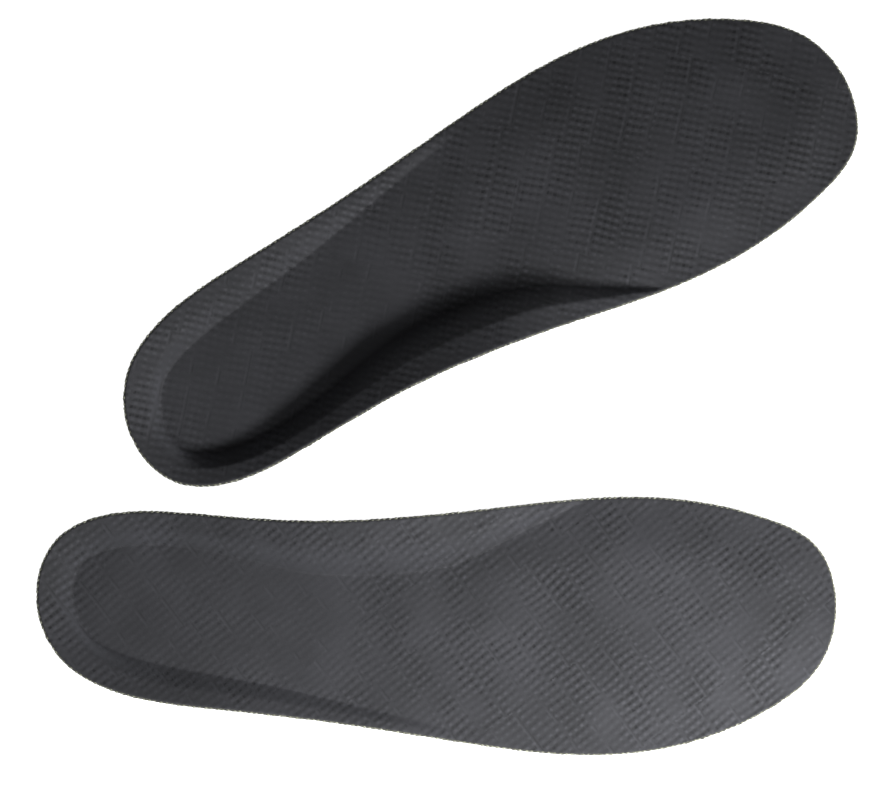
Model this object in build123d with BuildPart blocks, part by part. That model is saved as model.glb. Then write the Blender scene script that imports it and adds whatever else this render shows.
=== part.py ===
from build123d import *
import math
import os

# Pair of full-length foot orthoses (orthotic shoe insoles), millimetres, +Z up.
# Each insole is drawn once as a right one in its own frame: x runs forward from the back of the heel,
# y runs towards the inner side of the foot, z is the height above the shoe's footbed.

os.makedirs("parts", exist_ok=True)

# ---- driving dimensions -------------------------------------------------------------------------
COVER = 0.8  # knitted mesh cloth
CUSHION = 2.2  # full-length foam layer
SHELL = 1.6  # semi-rigid support sheet
LINING = 0.5  # suede-like sheet under the sole
GLUE = 0.15  # glue line left between layers
HEEL_GEL = 2.3  # shock pad under the heel
BALL_GEL = 1.3  # shock pad under the ball

HEEL_SEAT = 8.5  # height of the top face under the heel
WAIST = 7.6  # height at the middle of the foot
FOREFOOT = 6.0  # height under the ball
TOE = 4.8  # height at the tip of the toe
FLARE_TOP = 14.0  # above this height the sides stand upright
SHELL_INSET = 2.6  # the shell stops this far inside the edge
SHELL_END_INNER = (176, 60)  # line that cuts the shell off behind the ball
SHELL_END_OUTER = (150, -70)
BEHIND_HEEL = -20  # an x that is clear of the heel
TALL = 50  # blanks are this high before the top face cuts them
DEEP = 70  # the solid under a face reaches this far down

FLEX_INNER = (200.0, 37.0)  # the flex line under the ball, inner end
FLEX_OUTER = (168.0, -52.0)  # and outer end
FLEX_GAP = 0.3  # clearance between the halves of a layer at the flex line
FLEX_LIFT = 0.3  # the flex axis lies this far above the top face

LEFT_TURN = 26.0  # degrees the left insole is turned against the right one
LEFT_HEEL = (32.0, 58.0)  # left heel seen from the right heel

# Plan outline: x, y, and how far the underside is drawn in from it.
OUTLINE = [
    (0, 1, 4.5),
    (7, 22, 4.5),
    (25, 30.5, 5),
    (50, 31, 6.5),
    (90, 28.2, 10.5),
    (125, 29.3, 10),
    (160, 33, 4.5),
    (200, 36.7, 1.2),
    (228, 35, 1),
    (252, 29, 1),
    (268, 20, 1),
    (275, 1, 1),
    (269.5, -21, 1),
    (250, -37.5, 1),
    (225, -47.8, 1),
    (200, -52, 1.2),
    (175, -51.6, 1.5),
    (140, -47, 2),
    (100, -41, 3),
    (60, -36.5, 4),
    (30, -31.5, 4.5),
    (9, -20, 4.5),
]

# Walls round the cup and the arch: x, rise above the seat at the edge, width in plan.
INNER_WALL = [(-40, 11.5, 12.5), (0, 11.5, 12.5), (45, 12, 11.5), (75, 15.5, 14.5), (110, 19.5, 18.5),
              (135, 17.2, 18), (160, 8.5, 12.5), (188, 0, 8), (240, 0, 8), (320, 0, 8)]
OUTER_WALL = [(-40, 11.5, 12.5), (0, 11.5, 12.5), (38, 10.5, 13.5), (75, 7.5, 11), (112, 3.4, 8),
              (150, 0, 7), (200, 0, 7), (320, 0, 7)]
SEAT = [(-40, HEEL_SEAT), (0, HEEL_SEAT), (45, HEEL_SEAT), (110, WAIST), (185, FOREFOOT),
        (235, FOREFOOT - 0.2), (275, TOE), (320, TOE - 0.8)]
PAD_SHARE = [(-40, 0), (40, 0), (66, 0.08), (90, 0.3), (130, 0.34), (165, 0.34), (240, 0.34), (320, 0.34)]

# Arch pad's edge in plan, from its rear corner round to its front one.
ARCH_PAD_EDGE = [(70, 33), (76, 21), (93, 14.5), (112, 13), (128, 14), (146, 19.5), (161, 26.5), (176, 36)]

# Heel pad and ball pad: centre x, y, length, width.
HEEL_PAD = (36, -1, 46, 34)
BALL_PAD = (214, -9, 34, 62)
PAD_CLEARANCE = 0.3

# Points at which the top face is worked out.
GRID_X = [-9 + 8.0 * i for i in range(37)]
GRID_Y = [-63 + 6.5 * i for i in range(18)]


# ---- shape of the top face ----------------------------------------------------------------------
def smooth_through(stations, x, column=1):
    """Value at x of a smooth curve through the stations."""
    i = 1
    while i < len(stations) - 3 and x > stations[i + 1][0]:
        i += 1
    before, start, end, after = stations[i - 1 : i + 3]
    span = end[0] - start[0]
    t = min(max((x - start[0]) / span, 0.0), 1.0)
    slope_in = (end[column] - before[column]) / (end[0] - before[0]) * span
    slope_out = (after[column] - start[column]) / (after[0] - start[0]) * span
    rise = end[column] - start[column]
    if rise * slope_in <= 0:
        slope_in = 0
    if rise * slope_out <= 0:
        slope_out = 0
    square = t * t
    cube = square * t
    return (start[column] + rise * (3 * square - 2 * cube)
            + slope_in * (cube - 2 * square + t) + slope_out * (cube - square))


def closed_curve(points, pieces=11):
    """Edges of one smooth closed curve through the points."""
    whole = Spline(points, periodic=True, mode=Mode.PRIVATE)
    return [whole.trim(i / pieces, (i + 1) / pieces) for i in range(pieces)]


with BuildSketch() as plan:
    with BuildLine():
        add(closed_curve([(x, y) for x, y, inset in OUTLINE]))
    make_face()

plan_face = plan.sketch.faces()[0]
plan_edge = plan_face.outer_wire()


def edge_distance(x, y):
    """Distance in plan from the edge, positive inside it."""
    point = Vector(x, y, 0)
    distance = plan_edge.distance_to(Vertex(x, y, 0))
    return distance if plan_face.is_inside(point) else -distance


def wall_rise(x, y):
    """Height of the cup or arch wall above the seat."""
    stations = INNER_WALL if y > 0 else OUTER_WALL
    height = smooth_through(stations, x, 1)
    width = smooth_through(stations, x, 2)
    depth = 1 - edge_distance(x, y) / width
    if depth <= 0:
        return 0.0
    if depth <= 1:
        return height * depth * depth * (1.6 - 0.6 * depth)
    outside = min(depth - 1, 0.7)
    return height * (1 + 1.4 * outside - outside * outside)


walls = {(x, y): wall_rise(x, y) for x in GRID_X for y in GRID_Y}


def pad_rise(x, y):
    """Thickness that the arch pad takes up under the cover."""
    return smooth_through(PAD_SHARE, x) * walls[x, y] if y > 0 else 0.0


def below(drop, under_pad=False):
    """Everything under the top face lowered by drop, and by the arch pad too if asked."""
    rows = []
    for x in GRID_X:
        row = []
        for y in GRID_Y:
            height = smooth_through(SEAT, x) + walls[x, y] - drop
            if under_pad:
                height -= pad_rise(x, y)
            row.append(Vector(x, y, height))
        rows.append(row)
    face = Face.make_surface_from_array_of_points(rows, tol=0.1, min_deg=3)
    return Solid.extrude(face, Vector(0, 0, -DEEP))


under_cover = COVER + GLUE
under_cushion = under_cover + CUSHION + GLUE
under_shell = under_cushion + SHELL + GLUE
sole = LINING + GLUE  # height at which the base starts

top_block = below(0)
cover_block = below(COVER)
pad_top_block = below(under_cover)
pad_floor_block = below(COVER, under_pad=True)
cushion_top_block = below(under_cover, under_pad=True)
cushion_floor_block = below(under_cover + CUSHION, under_pad=True)
shell_top_block = below(under_cushion, under_pad=True)
shell_floor_block = below(under_cushion + SHELL, under_pad=True)
pocket_floor_block = below(under_shell, under_pad=True)


# ---- outlines -----------------------------------------------------------------------------------
def moved_in(distances):
    """Outline points moved inwards, each by its own distance."""
    points = []
    for i, (x, y, inset) in enumerate(OUTLINE):
        last = OUTLINE[i - 1]
        following = OUTLINE[(i + 1) % len(OUTLINE)]
        along = Vector(following[0] - last[0], following[1] - last[1]).normalized()
        points.append((x + along.Y * distances[i], y - along.X * distances[i]))
    return points


def underside(extra=0.0):
    """Outline of the underside."""
    return closed_curve(moved_in([inset + extra for x, y, inset in OUTLINE]))


def pad_outline():
    """Arch pad in plan; its outer side runs past the plan edge and is trimmed by it."""
    with BuildSketch(mode=Mode.PRIVATE) as outline:
        with BuildLine():
            inner = Spline(ARCH_PAD_EDGE)
            Polyline(inner @ 1, (ARCH_PAD_EDGE[-1][0], TALL), (ARCH_PAD_EDGE[0][0], TALL), inner @ 0)
        make_face()
    return outline.sketch


def shell_outline(grow=0.0):
    """Shell in plan, a little inside the edge, cut off obliquely behind the ball."""
    with BuildSketch(mode=Mode.PRIVATE) as outline:
        with BuildLine():
            add(closed_curve(moved_in([SHELL_INSET - grow] * len(OUTLINE))))
        make_face()
        with BuildSketch(mode=Mode.PRIVATE) as rear_area:
            with BuildLine():
                inner_x, inner_y = SHELL_END_INNER
                outer_x, outer_y = SHELL_END_OUTER
                Polyline((BEHIND_HEEL, inner_y), (inner_x + grow, inner_y), (outer_x + grow, outer_y),
                         (BEHIND_HEEL, outer_y), close=True)
            make_face()
        add(rear_area.sketch, mode=Mode.INTERSECT)
    return outline.sketch


# ---- layers of a right insole -------------------------------------------------------------------
def make_top_cover():
    with BuildPart() as top_cover:
        add(plan.sketch)
        extrude(amount=TALL)
        add(top_block, mode=Mode.INTERSECT)
        add(cover_block, mode=Mode.SUBTRACT)
    return top_cover.part


def make_cushion():
    with BuildPart() as cushion:
        add(plan.sketch)
        extrude(amount=TALL)
        add(cushion_top_block, mode=Mode.INTERSECT)
        add(cushion_floor_block, mode=Mode.SUBTRACT)
    return cushion.part


def make_arch_pad():
    with BuildPart() as arch_pad:
        add(plan.sketch)
        extrude(amount=TALL)
        extrude(pad_outline(), amount=TALL, mode=Mode.INTERSECT)
        add(pad_top_block, mode=Mode.INTERSECT)
        add(pad_floor_block, mode=Mode.SUBTRACT)
    return arch_pad.part


def make_support_shell():
    with BuildPart() as support_shell:
        extrude(shell_outline(), amount=TALL)
        add(shell_top_block, mode=Mode.INTERSECT)
        add(shell_floor_block, mode=Mode.SUBTRACT)
    return support_shell.part


def pad_blank(pad, thickness, grow=0.0):
    """Oval pad standing on the lining."""
    x, y, length, width = pad
    with BuildPart(mode=Mode.PRIVATE) as blank:
        with BuildSketch(Plane.XY.offset(sole)):
            with Locations((x, y)):
                Ellipse(length / 2 + grow, width / 2 + grow)
        extrude(amount=thickness)
    return blank.part


def make_heel_pad():
    with BuildPart() as heel_pad:
        add(pad_blank(HEEL_PAD, HEEL_GEL))
    return heel_pad.part


def make_ball_pad():
    with BuildPart() as ball_pad:
        add(pad_blank(BALL_PAD, BALL_GEL))
    return ball_pad.part


def make_base():
    with BuildPart() as base:
        with BuildSketch(Plane.XY.offset(sole)):
            with BuildLine():
                add(underside())
            make_face()
        with BuildSketch(Plane.XY.offset(FLARE_TOP)):
            with BuildLine():
                add(closed_curve([(x, y) for x, y, inset in OUTLINE]))
            make_face()
        loft()
        with BuildSketch(Plane.XY.offset(FLARE_TOP)):
            add(plan.sketch)
        extrude(amount=TALL - FLARE_TOP)
        add(shell_top_block, mode=Mode.INTERSECT)
        with BuildPart(mode=Mode.PRIVATE) as pocket:
            extrude(shell_outline(PAD_CLEARANCE), amount=TALL)
            add(pocket_floor_block, mode=Mode.SUBTRACT)
        add(pocket.part, mode=Mode.SUBTRACT)
        add(pad_blank(HEEL_PAD, HEEL_GEL + GLUE, PAD_CLEARANCE), mode=Mode.SUBTRACT)
        add(pad_blank(BALL_PAD, BALL_GEL + GLUE, PAD_CLEARANCE), mode=Mode.SUBTRACT)
    return base.part


def make_bottom_lining():
    with BuildPart() as bottom_lining:
        with BuildSketch():
            with BuildLine():
                add(underside(0.4))
            make_face()
        extrude(amount=LINING)
    return bottom_lining.part


# ---- rear and front halves at the flex line -----------------------------------------------------
flex_along = Vector(FLEX_INNER[0] - FLEX_OUTER[0], FLEX_INNER[1] - FLEX_OUTER[1]).normalized()
flex_forward = Vector(flex_along.Y, -flex_along.X)


def half(layer, front):
    """The rear or front half of a layer, clear of the other half."""
    side = 1 if front else -1
    origin = Vector(*FLEX_INNER) + flex_forward * (side * FLEX_GAP / 2)
    with BuildPart() as piece:
        add(layer)
        split(bisect_by=Plane(origin, x_dir=(0, 0, 1), z_dir=flex_forward * side), keep=Keep.TOP)
    return piece.part


# ---- both feet ----------------------------------------------------------------------------------
with BuildSketch() as left_plan:
    add(plan.sketch)
    mirror(about=Plane.XZ, mode=Mode.REPLACE)
left_place = Location((LEFT_HEEL[0], LEFT_HEEL[1], 0), (0, 0, LEFT_TURN))
both = Compound(children=[plan.sketch.faces()[0], left_plan.sketch.faces()[0].moved(left_place)])
middle = both.bounding_box().center()
right_foot = Location((-middle.X, -middle.Y, 0))
left_foot = Location((LEFT_HEEL[0] - middle.X, LEFT_HEEL[1] - middle.Y, 0), (0, 0, LEFT_TURN))


def keep_piece(name, shape):
    """Write a right piece and its mirrored left twin."""
    for side, place in (("right", right_foot), ("left", left_foot)):
        with BuildPart() as piece:
            add(shape)
            if side == "left":
                mirror(about=Plane.XZ, mode=Mode.REPLACE)
        placed = piece.part.moved(place)
        placed.label = f"{side}_{name}"
        export_step(placed, f"parts/{placed.label}.step")
        print(placed.label, round(placed.volume), "mm3")


for name, layer in (("top_cover", make_top_cover()), ("cushion", make_cushion()),
                    ("base", make_base()), ("bottom_lining", make_bottom_lining())):
    keep_piece(f"{name}_rear", half(layer, front=False))
    keep_piece(f"{name}_front", half(layer, front=True))

keep_piece("arch_pad", make_arch_pad())
keep_piece("support_shell", make_support_shell())
keep_piece("heel_pad", make_heel_pad())
keep_piece("ball_pad", make_ball_pad())

flex_height = max(smooth_through(SEAT, x) for x in (FLEX_INNER[0], FLEX_OUTER[0])) + FLEX_LIFT
for side, place, mirrored in (("right", right_foot, 1), ("left", left_foot, -1)):
    inner = (place * Location((FLEX_INNER[0], mirrored * FLEX_INNER[1], flex_height))).position
    outer = (place * Location((FLEX_OUTER[0], mirrored * FLEX_OUTER[1], flex_height))).position
    print(side, "flex line from", inner, "to", outer)
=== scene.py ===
import math

import bpy
import numpy as np
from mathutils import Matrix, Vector


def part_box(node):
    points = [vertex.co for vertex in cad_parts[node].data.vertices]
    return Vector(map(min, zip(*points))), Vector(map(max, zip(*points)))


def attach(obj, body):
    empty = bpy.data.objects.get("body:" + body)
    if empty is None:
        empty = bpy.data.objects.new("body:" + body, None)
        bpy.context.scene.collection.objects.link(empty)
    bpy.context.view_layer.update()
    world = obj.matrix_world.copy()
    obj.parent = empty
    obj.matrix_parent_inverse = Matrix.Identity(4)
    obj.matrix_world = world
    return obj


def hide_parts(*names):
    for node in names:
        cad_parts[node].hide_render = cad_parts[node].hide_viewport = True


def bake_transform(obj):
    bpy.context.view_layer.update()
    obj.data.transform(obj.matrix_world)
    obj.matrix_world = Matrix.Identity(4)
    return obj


# A pair of foot orthoses. Each insole is drawn once in its own frame, in millimetres: x runs forward from
# the back of the heel, y towards the inner side of the foot, z up from the floor.

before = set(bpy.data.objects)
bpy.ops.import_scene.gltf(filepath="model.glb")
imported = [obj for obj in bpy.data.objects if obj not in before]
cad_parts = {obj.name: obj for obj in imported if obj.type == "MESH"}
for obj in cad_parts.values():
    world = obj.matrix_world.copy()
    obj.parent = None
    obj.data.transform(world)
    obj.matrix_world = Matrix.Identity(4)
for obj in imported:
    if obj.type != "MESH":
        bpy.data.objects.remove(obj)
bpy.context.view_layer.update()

MM = 0.001
SIDES = ("right", "left")
LEFT_TURN = math.radians(26)
HEEL_PAD = (36.0, -1.0)  # the heel pad's centre, which places each insole in the frame

COVER = 0.8
CUSHION = 2.2
LINING = 0.5
GLUE = 0.15
FLARE_TOP = 14.0
BEVEL = 0.95  # width in plan of the slanting cut edge

LINING_INSET = 1.2  # the lining stops this far inside the underside's edge
SHELL_THICK = 1.0
SHELL_INSET = 6.0
UV_UNIT = 100  # millimetres of cloth to one unit of the knit's map
YARN_PITCH = 1.95

FLEX_INNER = (200.0, 37.0)
FLEX_OUTER = (168.0, -52.0)
FLEX_HALF = 15.0  # the bend's span reaches this far each side of the flex line; no piece is bent by it

# Plan outline: x, y, and how far the underside is drawn in from it.
OUTLINE = [
    (0, 1, 4.5), (7, 22, 4.5), (25, 30.5, 5), (50, 31, 6.5), (90, 28.2, 10.5), (125, 29.3, 10), (160, 33, 4.5),
    (200, 36.7, 1.2), (228, 35, 1), (252, 29, 1), (268, 20, 1), (275, 1, 1), (269.5, -21, 1), (250, -37.5, 1),
    (225, -47.8, 1), (200, -52, 1.2), (175, -51.6, 1.5), (140, -47, 2), (100, -41, 3), (60, -36.5, 4),
    (30, -31.5, 4.5), (9, -20, 4.5),
]
# Walls round the cup and the arch: x, rise above the seat at the edge, width in plan.
INNER_WALL = [
    (-40, 11.5, 12.5), (0, 11.5, 12.5), (45, 12, 11.5), (75, 15.5, 14.5), (95, 18.6, 18), (128, 18.4, 19),
    (142, 15.4, 17.8), (152, 12.2, 15.2), (160, 9.2, 11.8), (170, 5.6, 7.8), (180, 2.8, 4), (187, 0.9, 1.2),
    (200, 0, 1), (320, 0, 1),
]
OUTER_WALL = [(-40, 11.5, 12.5), (0, 11.5, 12.5), (38, 10.5, 13.5), (75, 7.5, 11), (112, 3.4, 7),
              (150, 0, 4), (200, 0, 4), (320, 0, 4)]
SEAT = [(-40, 8.5), (0, 8.5), (45, 8.5), (110, 7.8), (185, 6.9), (235, 6.8), (275, 6.4), (320, 6.2)]
PAD_STEP = [(-40, 0), (60, 0), (74, 0.3), (110, 0.45), (150, 0.8), (172, 0.6), (190, 0), (320, 0)]


# ---- shapes in the insole's own frame -------------------------------------------------------------
def smooth_through(stations, column=1):
    """A table of the smooth curve through the stations, as (x, value)."""
    xs = np.arange(-30.0, 310.0, 0.5)
    values = []
    for x in xs:
        i = 1
        while i < len(stations) - 3 and x > stations[i + 1][0]:
            i += 1
        before, start, end, after = stations[i - 1 : i + 3]
        span = end[0] - start[0]
        t = min(max((x - start[0]) / span, 0.0), 1.0)
        rise = end[column] - start[column]
        slope_in = (end[column] - before[column]) / (end[0] - before[0]) * span
        slope_out = (after[column] - start[column]) / (after[0] - start[0]) * span
        slope_in = slope_in if rise * slope_in > 0 else 0.0
        slope_out = slope_out if rise * slope_out > 0 else 0.0
        hermite = rise * (3 * t * t - 2 * t**3) + slope_in * (t**3 - 2 * t * t + t)
        hermite += slope_out * (t**3 - t * t)
        values.append(start[column] + hermite)
    return xs, np.array(values)


def at(table, x):
    return np.interp(x, table[0], table[1])


def ramp(low, high, value):
    """Smooth rise from 0 at low to 1 at high."""
    t = np.clip((value - low) / (high - low), 0, 1)
    return t * t * (3 - 2 * t)


def closed_spline(points, count):
    """count points on the closed cubic curve through the points, with every column splined."""
    p = np.array(points, float)
    n = len(p)
    chord = np.linalg.norm(np.roll(p[:, :2], -1, 0) - p[:, :2], axis=1)
    before = np.roll(chord, 1)
    matrix = np.zeros((n, n))
    for i in range(n):
        matrix[i, i - 1] += before[i]
        matrix[i, i] += 2 * (before[i] + chord[i])
        matrix[i, (i + 1) % n] += chord[i]
    step = (np.roll(p, -1, 0) - p) / chord[:, None]
    second = np.linalg.solve(matrix, 6 * (step - np.roll(step, 1, 0)))
    knots = np.concatenate([[0], np.cumsum(chord)])
    u = np.linspace(0, knots[-1], count, endpoint=False)
    k = np.clip(np.searchsorted(knots, u, side="right") - 1, 0, n - 1)
    h = chord[k][:, None]
    b = ((u - knots[k])[:, None]) / h
    a = 1 - b
    nxt = (k + 1) % n
    return a * p[k] + b * p[nxt] + ((a**3 - a) * second[k] + (b**3 - b) * second[nxt]) * h * h / 6


EDGE = closed_spline(OUTLINE, 3200)
EDGE_ALONG = np.roll(EDGE[:, :2], -1, 0) - np.roll(EDGE[:, :2], 1, 0)
EDGE_ALONG /= np.linalg.norm(EDGE_ALONG, axis=1)[:, None]
EDGE_IN = np.stack([EDGE_ALONG[:, 1], -EDGE_ALONG[:, 0]], 1)
INNER_RISE, INNER_WIDTH = smooth_through(INNER_WALL, 1), smooth_through(INNER_WALL, 2)
OUTER_RISE, OUTER_WIDTH = smooth_through(OUTER_WALL, 1), smooth_through(OUTER_WALL, 2)
SEAT_HEIGHT, STEP_HEIGHT = smooth_through(SEAT), smooth_through(PAD_STEP)


def edge_distance(x, y):
    """Distance in plan to the outline for flat arrays x and y, positive inside."""
    away = np.empty(len(x))
    for k in range(0, len(x), 4000):
        dx = x[k : k + 4000, None] - EDGE[None, ::2, 0]
        dy = y[k : k + 4000, None] - EDGE[None, ::2, 1]
        square = dx * dx + dy * dy
        near = square.argmin(1)
        row = np.arange(len(near))
        side = dx[row, near] * EDGE_IN[::2][near, 0] + dy[row, near] * EDGE_IN[::2][near, 1]
        away[k : k + 4000] = np.sqrt(square[row, near]) * np.where(side < 0, -1, 1)
    return away


def waves(x, y, scale, seed):
    """Smooth random unevenness of about one unit, with features about scale wide."""
    rng = np.random.default_rng(seed)
    total = np.zeros_like(x)
    for _ in range(9):
        turn = rng.uniform(0, math.tau)
        size = scale * rng.uniform(0.7, 1.6)
        total += np.sin((x * math.cos(turn) + y * math.sin(turn)) * math.tau / size + rng.uniform(0, math.tau))
    return total / 3


def top_height(x, y, away=None):
    """Height of the cover's top face, without the knit, for flat arrays."""
    if away is None:
        away = edge_distance(x, y)
    inner = ramp(-7, 7, y)
    rise = at(INNER_RISE, x) * inner + at(OUTER_RISE, x) * (1 - inner)
    width = at(INNER_WIDTH, x) * inner + at(OUTER_WIDTH, x) * (1 - inner)
    depth = np.clip(1 - away / width, 0, 1.2)
    heel = (1 - ramp(10, 45, x)) * (1 - 0.8 * inner)
    steep = 0.45 + 0.37 * inner * ramp(118, 152, x) + 0.1 * heel
    wall = rise * (steep * ramp(0, 0.55 - 0.2 * heel, depth) + (1 - steep) * depth * ramp(-0.02, 0.12, depth))
    step = inner * at(STEP_HEIGHT, x) * ramp(0, 1.0, width - away)
    dome = (1.3 + 1.1 * inner) * ramp(115, 190, x) * (1 - ramp(0, 26, away)) ** 1.3
    dish = 0.5 * np.exp(-(((x - 36) / 18) ** 2 + (y / 13) ** 2))
    soft = 0.10 * waves(x, y, 34, 3) + 0.05 * waves(x, y, 15, 4)
    return at(SEAT_HEIGHT, x) + wall + step - dome - dish + soft


def pad_thickness(x, y):
    """Thickness of the arch pad between cover and cushion, for flat arrays; nothing away from the arch."""
    depth = np.clip(1 - edge_distance(x, y) / at(INNER_WIDTH, x), 0, 1)
    return 0.3 * at(INNER_RISE, x) * depth**1.5 * ramp(64, 92, x) * (1 - ramp(160, 182, x)) * (y > 0)


# ---- the knit -------------------------------------------------------------------------------------
RIB_TURN = math.radians(38)  # the ribs' direction in the insole's frame
RIB_PITCH = 2.65
STITCH = 2.7  # between the small holes along a rib
BAND = 9.4  # length of one band of ribs, along the ribs; the next band is half a pitch off
RELIEF = 0.075


def knit_axes(x, y):
    """Places along and across the ribs."""
    along = x * math.cos(RIB_TURN) + y * math.sin(RIB_TURN)
    across = -x * math.sin(RIB_TURN) + y * math.cos(RIB_TURN)
    return along + 0.3 * waves(x, y, 26, 11), across + 0.22 * waves(x, y, 19, 12)


def band_step(across):
    """How far the bands are set off along the ribs at this place across them: whole stitches."""
    block = np.floor(across / (RIB_PITCH * 7)).astype(int)
    return STITCH * np.random.default_rng(17).integers(-1, 2, 64)[block % 64]


def knit_height(x, y):
    """The ribs' relief in millimetres."""
    along, across = knit_axes(x, y)
    along = along + band_step(across)
    band = along / BAND
    place = band - np.floor(band)
    rib = 0.5 + 0.5 * np.cos(math.tau * (across / RIB_PITCH + 0.5 * np.floor(band)))
    stitch = 0.5 + 0.5 * np.cos(math.tau * along / STITCH)
    window = ramp(0.0, 0.12, place) * (1 - ramp(0.86, 0.98, place))
    strength = np.clip(0.7 + 0.35 * waves(x, y, 28, 13), 0.15, 1.2)
    border = np.exp(-(((place - 0.93) / 0.035) ** 2)) - np.exp(-(((place - 0.02) / 0.035) ** 2))
    return RELIEF * strength * (rib * window * (0.45 + 0.55 * stitch) + 0.1 * border)


# ---- meshes ---------------------------------------------------------------------------------------
def moving_on(curve):
    """The curve's points whose x goes on rising."""
    return curve[np.concatenate([[True], np.diff(np.maximum.accumulate(curve[:, 0])) > 0])]


def moved_edge(inset):
    """The outline moved inwards, split at heel and toe into its outer and inner side as (x, y) tables."""
    curve = EDGE[:, :2] + EDGE_IN * (np.zeros(len(EDGE)) + inset)[:, None]
    heel, toe = curve[:, 0].argmin(), curve[:, 0].argmax()
    inner = np.roll(curve, -heel, 0)[: (toe - heel) % len(curve) + 1]
    outer = np.roll(curve, -toe, 0)[: (heel - toe) % len(curve) + 1][::-1]
    return moving_on(outer), moving_on(inner)


def column_grid(step, rows, inset=0.0):
    """Grid of points filling the outline: columns across the foot, closer together at heel and toe."""
    outer, inner = moved_edge(inset)
    low, high = max(outer[0, 0], inner[0, 0]), min(outer[-1, 0], inner[-1, 0])
    reach = 30.0
    turns = int(reach * 1.45 / step)
    angle = np.linspace(math.pi / 2 / turns, math.pi / 2, turns) * 0.999
    heel = low + reach * (1 - np.cos(angle))
    toe = high - reach * (1 - np.cos(angle))
    middle = np.linspace(heel[-1], toe[-1], int((toe[-1] - heel[-1]) / step) + 1)[1:-1]
    stations = np.concatenate([heel, middle, toe[::-1]])
    first = np.interp(stations, outer[:, 0], outer[:, 1])
    last = np.interp(stations, inner[:, 0], inner[:, 1])
    share = np.linspace(0, 1, rows)[None, :]
    y = first[:, None] * (1 - share) + last[:, None] * share
    x = np.repeat(stations[:, None], rows, 1)
    return x, y


def grid_faces(columns, rows, start=0):
    """Quads of a grid, facing up."""
    i, j = np.meshgrid(np.arange(columns - 1), np.arange(rows - 1), indexing="ij")
    first = (start + i * rows + j).ravel()
    return np.stack([first, first + rows, first + rows + 1, first + 1], 1)


def rim_of(columns, rows):
    """Vertex numbers round a grid, counter-clockwise from above."""
    near = np.arange(columns) * rows
    right = (columns - 1) * rows + np.arange(1, rows)
    far = (np.arange(columns - 1)[::-1]) * rows + rows - 1
    left = np.arange(1, rows - 1)[::-1]
    return np.concatenate([near, right, far, left])


def ring_faces(upper, lower):
    """Quads between two rings of vertex numbers, facing outwards."""
    return np.stack([upper, lower, np.roll(lower, -1), np.roll(upper, -1)], 1)


def nearest_edge(x, y):
    """Numbers of the outline's nearest points."""
    return ((x[:, None] - EDGE[None, :, 0]) ** 2 + (y[:, None] - EDGE[None, :, 1]) ** 2).argmin(1)


def foot_origin(side):
    """Where the insole's own origin lies in the frame, in metres."""
    low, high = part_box(f"{side}_heel_pad")
    centre = (low + high) / 2
    x, y = HEEL_PAD
    if side == "left":
        cosine, sine = math.cos(LEFT_TURN), math.sin(LEFT_TURN)
        x, y = x * cosine + y * sine, x * sine - y * cosine
    return centre.x - x * MM, centre.y - y * MM


ORIGIN = {side: foot_origin(side) for side in SIDES}


def placed(side, points):
    """Points of the insole's own frame, in millimetres, put where this foot lies, in metres."""
    p = np.array(points, float) * MM
    if side == "left":
        x, y = p[:, 0], -p[:, 1]
        p = np.stack([x * math.cos(LEFT_TURN) - y * math.sin(LEFT_TURN),
                      x * math.sin(LEFT_TURN) + y * math.cos(LEFT_TURN), p[:, 2]], 1)
    p[:, 0] += ORIGIN[side][0]
    p[:, 1] += ORIGIN[side][1]
    return p


def build(side, name, points, faces, materials, slots=None, uv=None, point_values=None):
    """A mesh object of this foot. faces is a list of vertex tuples or an array of quads."""
    faces = np.asarray(faces)
    if side == "left":
        faces = faces[:, ::-1]
    mesh = bpy.data.meshes.new(f"{side}_{name}")
    mesh.from_pydata(placed(side, points).tolist(), [], faces.tolist())
    for material in materials:
        mesh.materials.append(material)
    if slots is not None:
        mesh.polygons.foreach_set("material_index", np.asarray(slots, np.int32))
    if uv is not None:
        layer = mesh.uv_layers.new(name="knit")
        corners = np.empty(len(mesh.loops), np.int32)
        mesh.loops.foreach_get("vertex_index", corners)
        places = np.asarray(uv, np.float32)[corners]
        places[:, 0] += band_step(places[::4, 1].repeat(4))
        layer.data.foreach_set("uv", (places / UV_UNIT).ravel())
    mesh.polygons.foreach_set("use_smooth", np.ones(len(mesh.polygons), bool))
    if point_values is not None:
        attribute = mesh.attributes.new("openness", "FLOAT", "POINT")
        attribute.data.foreach_set("value", np.asarray(point_values, np.float32))
    mesh.update()
    piece = bpy.data.objects.new(f"{side}_{name}", mesh)
    bpy.context.scene.collection.objects.link(piece)
    return piece


def bend(side, piece):
    """Bakes the piece's placement into its mesh; the flex line's span under the ball is worked out, but the
    piece is not bent.
    """
    inner, outer = Vector(FLEX_INNER), Vector(FLEX_OUTER)
    along = (inner - outer).normalized()
    forward = Vector((along.y, -along.x))
    middle = (inner + outer) / 2
    start, end = middle - forward * FLEX_HALF, middle + forward * FLEX_HALF
    ends = placed(side, [(start.x, start.y, 0), (end.x, end.y, 0)])
    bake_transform(piece)


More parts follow.
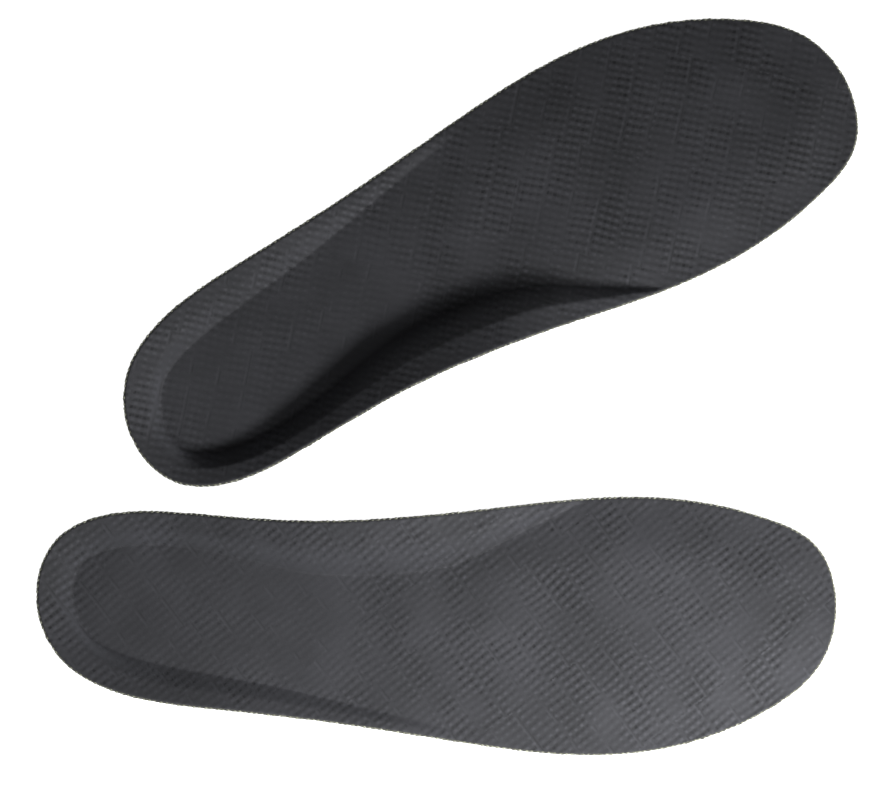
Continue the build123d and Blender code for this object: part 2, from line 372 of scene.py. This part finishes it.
# ---- materials ------------------------------------------------------------------------------------
class Nodes:
    """Short way to write a material's node tree."""

    def __init__(self, name):
        self.material = bpy.data.materials.new(name)
        self.material.use_nodes = True
        self.tree = self.material.node_tree
        self.shader = self.tree.nodes["Principled BSDF"]

    def put(self, socket, value):
        if isinstance(value, bpy.types.NodeSocket):
            self.tree.links.new(value, socket)
        elif value is not None:
            socket.default_value = value

    def math(self, operation, a, b=None, c=None):
        node = self.tree.nodes.new("ShaderNodeMath")
        node.operation = operation
        for socket, value in zip(node.inputs, (a, b, c)):
            self.put(socket, value)
        return node.outputs[0]

    def ramp(self, value, low, high, start=0.0, end=1.0):
        node = self.tree.nodes.new("ShaderNodeMapRange")
        node.interpolation_type = "SMOOTHSTEP"
        for socket, v in zip(node.inputs, (value, low, high, start, end)):
            self.put(socket, v)
        return node.outputs[0]

    def noise(self, vector, scale, detail=3.0, roughness=0.5):
        node = self.tree.nodes.new("ShaderNodeTexNoise")
        self.put(node.inputs["Vector"], vector)
        node.inputs["Scale"].default_value = scale
        node.inputs["Detail"].default_value = detail
        node.inputs["Roughness"].default_value = roughness
        return node.outputs["Fac"]

    def cells(self, vector, scale):
        node = self.tree.nodes.new("ShaderNodeTexVoronoi")
        self.put(node.inputs["Vector"], vector)
        node.inputs["Scale"].default_value = scale
        return node.outputs["Distance"]

    def mix(self, share, a, b):
        node = self.tree.nodes.new("ShaderNodeMix")
        node.data_type = "RGBA"
        self.put(node.inputs[0], share)
        self.put(node.inputs[6], a)
        self.put(node.inputs[7], b)
        return node.outputs[2]

    def coordinates(self, kind="Object"):
        return self.tree.nodes.new("ShaderNodeTexCoord").outputs[kind]

    def bump(self, height, distance, strength=1.0, normal=None):
        node = self.tree.nodes.new("ShaderNodeBump")
        node.inputs["Strength"].default_value = strength
        node.inputs["Distance"].default_value = distance
        self.put(node.inputs["Height"], height)
        self.put(node.inputs["Normal"], normal)
        return node.outputs[0]

    def finish(self, colour=None, roughness=None, normal=None, **constants):
        self.put(self.shader.inputs["Base Color"], colour)
        self.put(self.shader.inputs["Roughness"], roughness)
        self.put(self.shader.inputs["Normal"], normal)
        for name, value in constants.items():
            self.shader.inputs[name.replace("_", " ")].default_value = value
        return self.material


def openness(x, y):
    """How open the mesh looks: pressed flat under the heel, drawn open on the walls and the forefoot."""
    away = edge_distance(x, y)
    seat = (1 - ramp(85, 150, x)) * ramp(9, 18, away)
    return np.clip(1 - 0.7 * seat + 0.15 * waves(x, y, 40, 15), 0.2, 1.1)


def knit_material():
    """Charcoal knitted mesh: ribs in bands, small holes between them, fine yarn loops; the colour also holds
    painted light on the ribs, painted shade in the valleys and holes, and painted glints.
    """
    n = Nodes("mesh_cover")
    open_mesh = n.tree.nodes.new("ShaderNodeAttribute")
    open_mesh.attribute_name = "openness"
    uv_map = n.tree.nodes.new("ShaderNodeUVMap")
    uv_map.uv_map = "knit"
    where = uv_map.outputs[0]
    split = n.tree.nodes.new("ShaderNodeSeparateXYZ")
    n.put(split.inputs[0], where)
    along = n.math("MULTIPLY", split.outputs[0], UV_UNIT)
    across = n.math("MULTIPLY", split.outputs[1], UV_UNIT)
    band = n.math("DIVIDE", along, BAND)
    place = n.math("FRACT", band)
    turn = n.math("MULTIPLY_ADD", n.math("FLOOR", band), 0.5, n.math("DIVIDE", across, RIB_PITCH))
    rib = n.math("MULTIPLY_ADD", n.math("COSINE", n.math("MULTIPLY", turn, math.tau)), 0.5, 0.5)
    window = n.math("MULTIPLY", n.ramp(place, 0.0, 0.12), n.ramp(place, 0.86, 0.98, 1.0, 0.0))
    ribs = n.math("MULTIPLY", rib, window)
    stitch = n.math("COSINE", n.math("MULTIPLY", along, math.tau / STITCH))
    # how open the mesh is varies over the cloth, and from stitch to stitch
    patch = n.ramp(n.noise(where, 6, 3, 0.6), 0.36, 0.62, 0.25, 1.0)
    patch = n.math("MULTIPLY", patch, open_mesh.outputs["Fac"])
    single = n.ramp(n.noise(where, 40, 2, 0.5), 0.3, 0.65)
    valley = n.math("MULTIPLY", n.ramp(rib, 0.1, 0.6, 1.0, 0.0), window)
    holes = n.math("MULTIPLY", n.ramp(stitch, 0.3, -0.8, 0.0, 1.0), valley)
    holes = n.math("MULTIPLY", holes, n.math("MULTIPLY", single, patch))
    # bright dots on the rib tops at the stitches: painted glints
    painted_glints = n.math("MULTIPLY", n.ramp(stitch, -0.1, 0.8), n.ramp(rib, 0.6, 0.95))
    painted_glints = n.math("MULTIPLY", painted_glints, n.math("MULTIPLY", n.ramp(n.noise(where, 44, 2), 0.4, 0.7), patch))
    last_row = n.ramp(n.math("ABSOLUTE", n.math("SUBTRACT", place, 0.93)), 0.0, 0.05, 1.0, 0.0)
    first_row = n.ramp(n.math("ABSOLUTE", n.math("SUBTRACT", place, 0.02)), 0.0, 0.05, 1.0, 0.0)
    border = n.math("SUBTRACT", last_row, first_row)
    border = n.math("MULTIPLY", border, n.ramp(n.noise(where, 14, 2), 0.48, 0.62))
    # the yarn's own loops
    loops = n.math("MULTIPLY", n.math("SINE", n.math("MULTIPLY", along, math.tau / 0.62)),
                   n.math("SINE", n.math("MULTIPLY", across, math.tau / 0.58)))
    fuzz = n.noise(where, 420, 2)
    cloudy = n.noise(where, 3.2, 5, 0.6)
    # the ribs are painted lighter and the valleys between them darker, following the relief: painted light and
    # shade
    painted_rib_light = n.math("MULTIPLY", n.math("SUBTRACT", rib, 0.5), window)
    painted_rib_light = n.math("MULTIPLY", painted_rib_light, n.math("MULTIPLY_ADD", stitch, 0.45, 0.6))
    tone_and_painted_light = n.math("MULTIPLY", n.math("MULTIPLY", painted_rib_light, patch), 0.6)
    # the band's raised last row is painted lighter and its sunk first row darker: painted light and shade on
    # the step
    tone_and_painted_light = n.math("MULTIPLY_ADD", border, 0.17, tone_and_painted_light)
    tone_and_painted_light = n.math("MULTIPLY_ADD", painted_glints, 0.42, tone_and_painted_light)
    tone_and_painted_light = n.math("MULTIPLY_ADD", loops, 0.05, tone_and_painted_light)
    tone_and_painted_light = n.math("MULTIPLY_ADD", n.math("SUBTRACT", fuzz, 0.5), 0.5, tone_and_painted_light)
    tone_and_painted_light = n.math("MULTIPLY_ADD", n.math("SUBTRACT", cloudy, 0.5), 0.75, tone_and_painted_light)
    # the colour runs from dark to light charcoal with the yarn's own tone and the painted light, shade and
    # glints above
    colour = n.mix(n.ramp(tone_and_painted_light, -0.6, 0.6), (0.019, 0.0195, 0.0205, 1), (0.057, 0.0575, 0.066, 1))
    # the holes are darkened nearly to black: painted shade inside them
    colour = n.mix(n.math("MULTIPLY", holes, 0.7), colour, (0.007, 0.007, 0.008, 1))
    relief = n.math("MULTIPLY", n.math("MULTIPLY_ADD", border, 0.2, n.math("MULTIPLY", ribs, 0.5)), patch)
    relief = n.math("SUBTRACT", relief, holes)
    relief = n.math("MULTIPLY_ADD", loops, 0.14, relief)
    relief = n.math("MULTIPLY_ADD", fuzz, 0.25, relief)
    normal = n.bump(relief, 0.00011, 0.8)
    rough = n.ramp(tone_and_painted_light, -0.4, 0.5, 0.85, 0.65)
    return n.finish(colour, rough, normal, Sheen_Weight=0.25, Sheen_Roughness=0.45,
                    Sheen_Tint=(0.78, 0.8, 0.88, 1), Specular_IOR_Level=0.3)


def cut_edge_material():
    """The cover's cut edge: dark yarn ends in a pale olive backing."""
    n = Nodes("cut_edge")
    where = n.coordinates()
    grain = n.noise(where, 900, 3, 0.6)
    patch = n.noise(where, 260, 2)
    colour = n.mix(n.ramp(grain, 0.38, 0.62), (0.026, 0.027, 0.026, 1), (0.15, 0.153, 0.115, 1))
    colour = n.mix(n.ramp(patch, 0.35, 0.7, 0.0, 0.75), colour, (0.05, 0.052, 0.045, 1))
    return n.finish(colour, 0.85, n.bump(grain, 0.0003), Sheen_Weight=0.2, Sheen_Roughness=0.5)


def yarn_end_material():
    n = Nodes("yarn_ends")
    where = n.coordinates()
    grain = n.noise(where, 700, 3)
    colour = n.mix(n.ramp(grain, 0.3, 0.7), (0.17, 0.175, 0.12, 1), (0.46, 0.47, 0.37, 1))
    return n.finish(colour, 0.8, n.bump(grain, 0.0002), Sheen_Weight=0.3, Sheen_Roughness=0.5)


def foam_material(name, dark, light, cell=900, depth=0.0003, roughness=0.85):
    """Foam with open cells at its cut faces."""
    n = Nodes(name)
    where = n.coordinates()
    cells = n.cells(where, cell)
    patch = n.noise(where, 60, 4)
    pits = n.ramp(cells, 0.15, 0.6)
    colour = n.mix(n.math("MULTIPLY_ADD", patch, 0.6, n.math("MULTIPLY", pits, 0.4)), (*dark, 1), (*light, 1))
    return n.finish(colour, roughness, n.bump(n.math("MULTIPLY_ADD", patch, 0.4, pits), depth))


def moulded_material():
    """Near-black moulded foam skin, leathery and slightly shiny."""
    n = Nodes("base_foam")
    where = n.coordinates()
    cells = n.cells(where, 520)
    fine = n.noise(where, 1500, 2)
    patch = n.noise(where, 35, 4)
    colour = n.mix(n.ramp(patch, 0.3, 0.7), (0.016, 0.016, 0.018, 1), (0.036, 0.036, 0.04, 1))
    relief = n.math("MULTIPLY_ADD", fine, 0.4, n.ramp(cells, 0.1, 0.7))
    rough = n.ramp(patch, 0.3, 0.7, 0.5, 0.68)
    return n.finish(colour, rough, n.bump(relief, 0.00018), Specular_IOR_Level=0.4)


def suede_material():
    n = Nodes("suede_lining")
    where = n.coordinates()
    nap = n.noise(where, 1400, 3, 0.65)
    patch = n.noise(where, 45, 4)
    shade = n.math("MULTIPLY_ADD", patch, 0.8, n.math("MULTIPLY", nap, 0.4))
    colour = n.mix(n.ramp(shade, 0.4, 0.85), (0.02, 0.02, 0.022, 1), (0.055, 0.055, 0.06, 1))
    return n.finish(colour, 0.92, n.bump(nap, 0.0002), Sheen_Weight=0.4, Sheen_Roughness=0.4)


def sheet_plastic_material():
    n = Nodes("shell_plastic")
    where = n.coordinates()
    grain = n.noise(where, 300, 4, 0.6)
    colour = n.mix(grain, (0.05, 0.06, 0.085, 1), (0.085, 0.1, 0.14, 1))
    return n.finish(colour, n.ramp(grain, 0.3, 0.7, 0.32, 0.5), n.bump(grain, 0.00008))


def gel_material():
    n = Nodes("gel")
    where = n.coordinates()
    cloud = n.noise(where, 90, 4)
    colour = n.mix(cloud, (0.05, 0.16, 0.24, 1), (0.09, 0.27, 0.36, 1))
    return n.finish(colour, n.ramp(cloud, 0.3, 0.7, 0.22, 0.34), n.bump(cloud, 0.0001),
                    Coat_Weight=0.3, Coat_Roughness=0.2)


KNIT = knit_material()
CUT_EDGE = cut_edge_material()
YARN_ENDS = yarn_end_material()
CUSHION_FOAM = foam_material("cushion_foam", (0.30, 0.29, 0.21), (0.58, 0.56, 0.44))
ARCH_FOAM = foam_material("arch_foam", (0.03, 0.03, 0.034), (0.08, 0.08, 0.09), cell=700)
BASE_FOAM = moulded_material()
SUEDE = suede_material()
SHELL_PLASTIC = sheet_plastic_material()
GEL = gel_material()


# ---- the insole's layers --------------------------------------------------------------------------
def make_cover(side):
    """Knitted cover: the ribbed top face, the slanting cut edge and a short return under it."""
    step = 0.62
    x, y = column_grid(step, int(90 / step), BEVEL)
    columns, rows = x.shape
    fx, fy = x.ravel(), y.ravel()
    away = edge_distance(fx, fy)
    z = top_height(fx, fy, away) + knit_height(fx, fy) * ramp(BEVEL, 3.0, away)
    points = [np.stack([fx, fy, z], 1)]
    faces = [grid_faces(columns, rows)]
    slots = [np.zeros(len(faces[0]))]
    rim = rim_of(columns, rows)
    edge = nearest_edge(fx[rim], fy[rim])
    upper, count = rim, columns * rows
    tooth = 0.10 * np.sin(np.arange(len(rim)) * 2.1) + 0.08 * waves(EDGE[edge, 0], EDGE[edge, 1], 5, 21)
    for inset, drop in ((0.6, 0.1), (0.15, 0.5), (0.02, COVER), (0.9, COVER + 0.05)):
        inset = inset + tooth * (0.2 < drop < COVER + 0.01)
        px = EDGE[edge, 0] + EDGE_IN[edge, 0] * inset
        py = EDGE[edge, 1] + EDGE_IN[edge, 1] * inset
        points.append(np.stack([px, py, z[rim] - drop], 1))
        lower = np.arange(count, count + len(rim))
        faces.append(ring_faces(upper, lower))
        slots.append(np.full(len(rim), 0 if drop < 0.2 else 1))
        upper, count = lower, count + len(rim)
    points = np.concatenate(points)
    along, across = knit_axes(points[:, 0], points[:, 1])
    uv = np.stack([along, across], 1)
    piece = build(side, "mesh_cover", points, np.concatenate(faces), [KNIT, CUT_EDGE], np.concatenate(slots),
                  uv, openness(points[:, 0], points[:, 1]))
    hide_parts(f"{side}_top_cover_rear", f"{side}_top_cover_front")
    return piece


def slab(side, name, material, step, top, bottom, rings, inset=0.0):
    """Closed layer: a top and a bottom grid joined by rings, which give their insets and heights."""
    x, y = column_grid(step, int(90 / step), inset)
    columns, rows = x.shape
    fx, fy = x.ravel(), y.ravel()
    rim = rim_of(columns, rows)
    edge = nearest_edge(fx[rim], fy[rim])
    along = EDGE_ALONG[edge]
    slide = (fx[rim] - EDGE[edge, 0]) * along[:, 0] + (fy[rim] - EDGE[edge, 1]) * along[:, 1]
    edge_x, edge_y = EDGE[edge, 0] + along[:, 0] * slide, EDGE[edge, 1] + along[:, 1] * slide
    points = [np.stack([fx, fy, top(fx, fy)], 1)]
    faces = [grid_faces(columns, rows)]
    upper, count = rim, columns * rows
    rim_top, rim_bottom = points[0][rim, 2], None
    for ring_inset, height in rings(edge, rim_top):
        px = edge_x + EDGE_IN[edge, 0] * ring_inset
        py = edge_y + EDGE_IN[edge, 1] * ring_inset
        points.append(np.stack([px, py, height], 1))
        lower = np.arange(count, count + len(rim))
        faces.append(ring_faces(upper, lower))
        upper, count, rim_bottom = lower, count + len(rim), (px, py)
    # the bottom grid: the top grid's layout drawn into the last ring
    shift_x, shift_y = np.zeros(len(fx)), np.zeros(len(fy))
    shift_x[rim], shift_y[rim] = rim_bottom[0] - fx[rim], rim_bottom[1] - fy[rim]
    gx, gy = shift_x.reshape(columns, rows), shift_y.reshape(columns, rows)
    share = np.linspace(0, 1, rows)[None, :]
    bx = fx.reshape(columns, rows) + gx[:, :1] * (1 - share) + gx[:, -1:] * share
    by = fy.reshape(columns, rows) + gy[:, :1] * (1 - share) + gy[:, -1:] * share
    bx[0], by[0] = x[0] + gx[0], y[0] + gy[0]
    bx[-1], by[-1] = x[-1] + gx[-1], y[-1] + gy[-1]
    inside = np.ones(columns * rows, bool)
    inside[rim] = False
    number = np.empty(columns * rows, int)
    number[rim] = upper
    number[inside] = np.arange(count, count + inside.sum())
    lower_z = bottom(bx.ravel(), by.ravel())
    points.append(np.stack([bx.ravel(), by.ravel(), lower_z], 1)[inside])
    faces.append(number[grid_faces(columns, rows)][:, ::-1])
    return build(side, name, np.concatenate(points), np.concatenate(faces), [material])


def inner_layer(side, name, node, material, low, high, heights):
    """Closed layer between two long edges, each an (x, y) pair of arrays; heights gives its two faces."""
    rows = 26
    stations = low[0]
    share = np.linspace(0, 1, rows)[None, :]
    x, y = [(low[k][:, None] * (1 - share) + high[k][:, None] * share).ravel() for k in range(2)]
    top, under = heights(x, y)
    rim = rim_of(len(stations), rows)
    across = EDGE_IN[nearest_edge(x[rim], y[rim])]
    rim_x, rim_y = x[rim] - across[:, 0] * 0.12, y[rim] - across[:, 1] * 0.12
    middle = np.stack([rim_x, rim_y, (top[rim] + under[rim]) / 2], 1)
    count = len(x)
    ring = 2 * count + np.arange(len(rim))
    sheet = grid_faces(len(stations), rows)
    faces = [sheet, sheet[:, ::-1] + count, ring_faces(rim, ring), ring_faces(ring, rim + count)]
    points = np.concatenate([np.stack([x, y, top], 1), np.stack([x, y, under], 1), middle])
    piece = build(side, name, points, np.concatenate(faces), [material])
    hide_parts(f"{side}_{node}")
    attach(piece, f"{side}_rear")
    return piece


def make_arch_pad(side):
    """Firm wedge under the cover, from the crease out to the edge."""
    stations = np.arange(66.0, 180.0, 1.5)
    _, inner = moved_edge(0.45)
    edge_y = np.interp(stations, inner[:, 0], inner[:, 1])
    crease_y = edge_y - np.maximum(at(INNER_WIDTH, stations) - 1.5, 1.0)

    def heights(x, y):
        top = top_height(x, y) - COVER - 0.06
        return top, top - np.maximum(pad_thickness(x, y), 0.1)

    piece = inner_layer(side, "arch_wedge", "arch_pad", ARCH_FOAM, (stations, crease_y),
                        (stations, edge_y), heights)


def make_shell(side):
    """Semi-rigid sheet sunk into the base's upper face, from the heel to behind the flex line."""
    outer, inner = moved_edge(SHELL_INSET)
    low_x, high_x = np.linspace(12, 148, 80), np.linspace(12, 176, 80)
    low = low_x, np.interp(low_x, outer[:, 0], outer[:, 1])
    high = high_x, np.interp(high_x, inner[:, 0], inner[:, 1])

    def heights(x, y):
        top = cushion_top(x, y) - CUSHION - GLUE - 0.15
        return top, top - SHELL_THICK

    inner_layer(side, "sunk_shell", "support_shell", SHELL_PLASTIC, low, high, heights)


def cushion_top(x, y):
    """The cushion's upper face; it sits a little lower under the sharp front end of the arch's crease."""
    near_end = ramp(140, 160, x) * (1 - ramp(192, 205, x)) * ramp(0, 10, y)
    crease_room = 0.55 * near_end * ramp(0.8, 2, edge_distance(x, y))
    return top_height(x, y) - COVER - GLUE - pad_thickness(x, y) - crease_room


def make_cushion(side):
    top = cushion_top

    def rings(edge, rim_top):
        bulge = 0.12 * waves(EDGE[edge, 0], EDGE[edge, 1], 9, 31)
        for inset, drop in ((0.5, 0.1), (0.4, 0.5), (0.35, 1.1), (0.4, 1.7), (0.55, CUSHION - 0.1)):
            yield inset + bulge, rim_top - drop

    def bottom(x, y):
        return cushion_top(x, y) - CUSHION

    piece = slab(side, "foam_cushion", CUSHION_FOAM, 2.0, top, bottom, rings, inset=0.6)
    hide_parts(f"{side}_cushion_rear", f"{side}_cushion_front")
    return piece


def make_base(side):
    floor = LINING + 0.05

    def top(x, y):
        return np.maximum(cushion_top(x, y) - CUSHION - GLUE, floor + 0.25)

    def rings(edge, rim_top):
        uneven = 0.08 * waves(EDGE[edge, 0], EDGE[edge, 1], 13, 41)
        for share in (0.02, 0.1, 0.25, 0.4, 0.55, 0.7, 0.82, 0.91, 0.97, 1.0):
            height = rim_top + (floor - rim_top) * share
            flare = EDGE[edge, 2] * np.clip(1 - (height - floor) / (FLARE_TOP - floor), 0, 1)
            rounding = 0.7 * max(0.0, (share - 0.9) / 0.1) ** 2 + 0.15 * (share < 0.05)
            yield 0.15 + flare + rounding + uneven, height

    def bottom(x, y):
        return np.full(len(x), floor)

    piece = slab(side, "moulded_base", BASE_FOAM, 2.0, top, bottom, rings, inset=0.3)
    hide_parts(f"{side}_base_rear", f"{side}_base_front")
    return piece


def make_lining(side):
    def top(x, y):
        return np.full(len(x), LINING)

    def rings(edge, rim_top):
        for extra, height in ((1.0, LINING), (0.9, 0.3), (1.0, 0.05), (1.15, 0.0)):
            yield EDGE[edge, 2] + extra, np.full(len(edge), height)

    def bottom(x, y):
        return np.zeros(len(x))

    piece = slab(side, "suede_lining", SUEDE, 2.5, top, bottom, rings, inset=EDGE[:, 2] + LINING_INSET)
    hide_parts(f"{side}_bottom_lining_rear", f"{side}_bottom_lining_front")
    return piece


def make_yarn_ends(side):
    """Pale yarn ends that stand out of the cover's cut edge all round."""
    length = np.linalg.norm(np.diff(EDGE[:, :2], axis=0), axis=1)
    run = np.concatenate([[0], np.cumsum(length)])
    count = int(run[-1] / YARN_PITCH)
    rng = np.random.default_rng(19)
    rings, segments = 4, 6
    points, faces = [], []
    for k in range(count):
        spot = (k + 0.5 + rng.uniform(-0.12, 0.12)) * YARN_PITCH
        i = int(np.searchsorted(run, spot)) % len(EDGE)
        inward = EDGE_IN[i]
        along = EDGE_ALONG[i]
        inset = 0.24 + rng.uniform(-0.08, 0.08)
        centre = EDGE[i, :2] + inward * inset
        brink = EDGE[i, :2] + inward * BEVEL
        height = top_height(brink[:1], brink[1:])[0]
        size = rng.uniform(0.75, 1.15)
        half_along, half_out, half_up = 0.55 * size, 0.36 * size, 0.24 * size
        start = len(points)
        lean = rng.uniform(-0.5, 0.5)
        for a in range(rings + 1):
            tilt = -math.pi / 2 + math.pi * a / rings
            for b in range(segments):
                turn = math.tau * b / segments
                u = math.cos(tilt) * math.cos(turn) * half_along
                v = math.cos(tilt) * math.sin(turn) * half_out
                w = math.sin(tilt) * half_up
                out = along * (u + lean * w) - inward * v
                points.append((centre[0] + out[0], centre[1] + out[1], height - 0.38 + w - v * 0.55))
        for a in range(rings):
            for b in range(segments):
                c = (b + 1) % segments
                first = start + a * segments
                faces.append((first + b, first + segments + b, first + segments + c, first + c))
    piece = build(side, "yarn_ends", np.array(points), np.array(faces), [YARN_ENDS])
    return piece


def dress_inner_pieces(side):
    """CAD pieces that are closed in between the layers keep their shape and get their material."""
    for name in ("heel_pad", "ball_pad"):
        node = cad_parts[f"{side}_{name}"]
        node.data.materials.clear()
        node.data.materials.append(GEL)


for side in SIDES:
    cover = make_cover(side)
    yarn_ends = make_yarn_ends(side)
    lining = make_lining(side)
    base = make_base(side)
    cushion = make_cushion(side)
    make_arch_pad(side)
    make_shell(side)
    for piece in (cover, yarn_ends, lining, base, cushion):
        bend(side, piece)
    dress_inner_pieces(side)


# ---- floor, light and camera ----------------------------------------------------------------------
def make_floor():
    mesh = bpy.data.meshes.new("floor")
    half = 2.5
    corners = [(-half, -half, 0), (half, -half, 0), (half, half, 0), (-half, half, 0)]
    mesh.from_pydata(corners, [], [(0, 1, 2, 3)])
    n = Nodes("floor")
    grain = n.noise(n.coordinates(), 30, 3)
    n.finish(n.mix(grain, (0.88, 0.88, 0.88, 1), (0.9, 0.9, 0.9, 1)), 0.9, Emission_Color=(1, 1, 1, 1),
             Emission_Strength=1.0)
    mesh.materials.append(n.material)
    floor = bpy.data.objects.new("floor", mesh)
    floor.location.z = -0.0002
    bpy.context.scene.collection.objects.link(floor)


def area_light(name, place, target, size, power, spread=180):
    data = bpy.data.lights.new(name, "AREA")
    data.shape = "RECTANGLE"
    data.size, data.size_y = size
    data.energy = power
    data.spread = math.radians(spread)
    light = bpy.data.objects.new(name, data)
    light.location = place
    light.visible_camera = False
    light.rotation_euler = (Vector(target) - Vector(place)).to_track_quat("-Z", "Y").to_euler()
    bpy.context.scene.collection.objects.link(light)


make_floor()
area_light("key", (0.18, -0.25, 0.28), (0.09, -0.15, 0), (0.15, 0.08), 0.6, spread=96)
area_light("heel", (-0.12, -0.3, 0.3), (-0.1, -0.1, 0), (0.1, 0.06), 0.045, spread=60)
area_light("side", (0.75, -0.25, 0.42), (-0.05, 0, 0), (0.4, 0.4), 4.6)

world = bpy.data.worlds.new("studio")
world.use_nodes = True
world.node_tree.nodes["Background"].inputs[0].default_value = (1, 1, 1, 1)
world.node_tree.nodes["Background"].inputs[1].default_value = 0.08
bpy.context.scene.world = world
bpy.context.scene.view_settings.view_transform = "Standard"

VIEW_WIDTH = 0.3025  # of the picture, at the height of the insoles
LENS = 700.0
camera_data = bpy.data.cameras.new("camera")
camera_data.sensor_width = 36
camera_data.lens = LENS
camera_data.clip_end = 20
camera = bpy.data.objects.new("camera", camera_data)
bpy.context.scene.collection.objects.link(camera)
distance = VIEW_WIDTH * LENS / camera_data.sensor_width
tilt = math.radians(1.5)
aim = Vector((-0.00275, -0.0025, 0.006))
camera.location = aim + Vector((0, -math.sin(tilt), math.cos(tilt))) * distance
camera.rotation_euler = (tilt, 0, 0)
bpy.context.scene.camera = camera
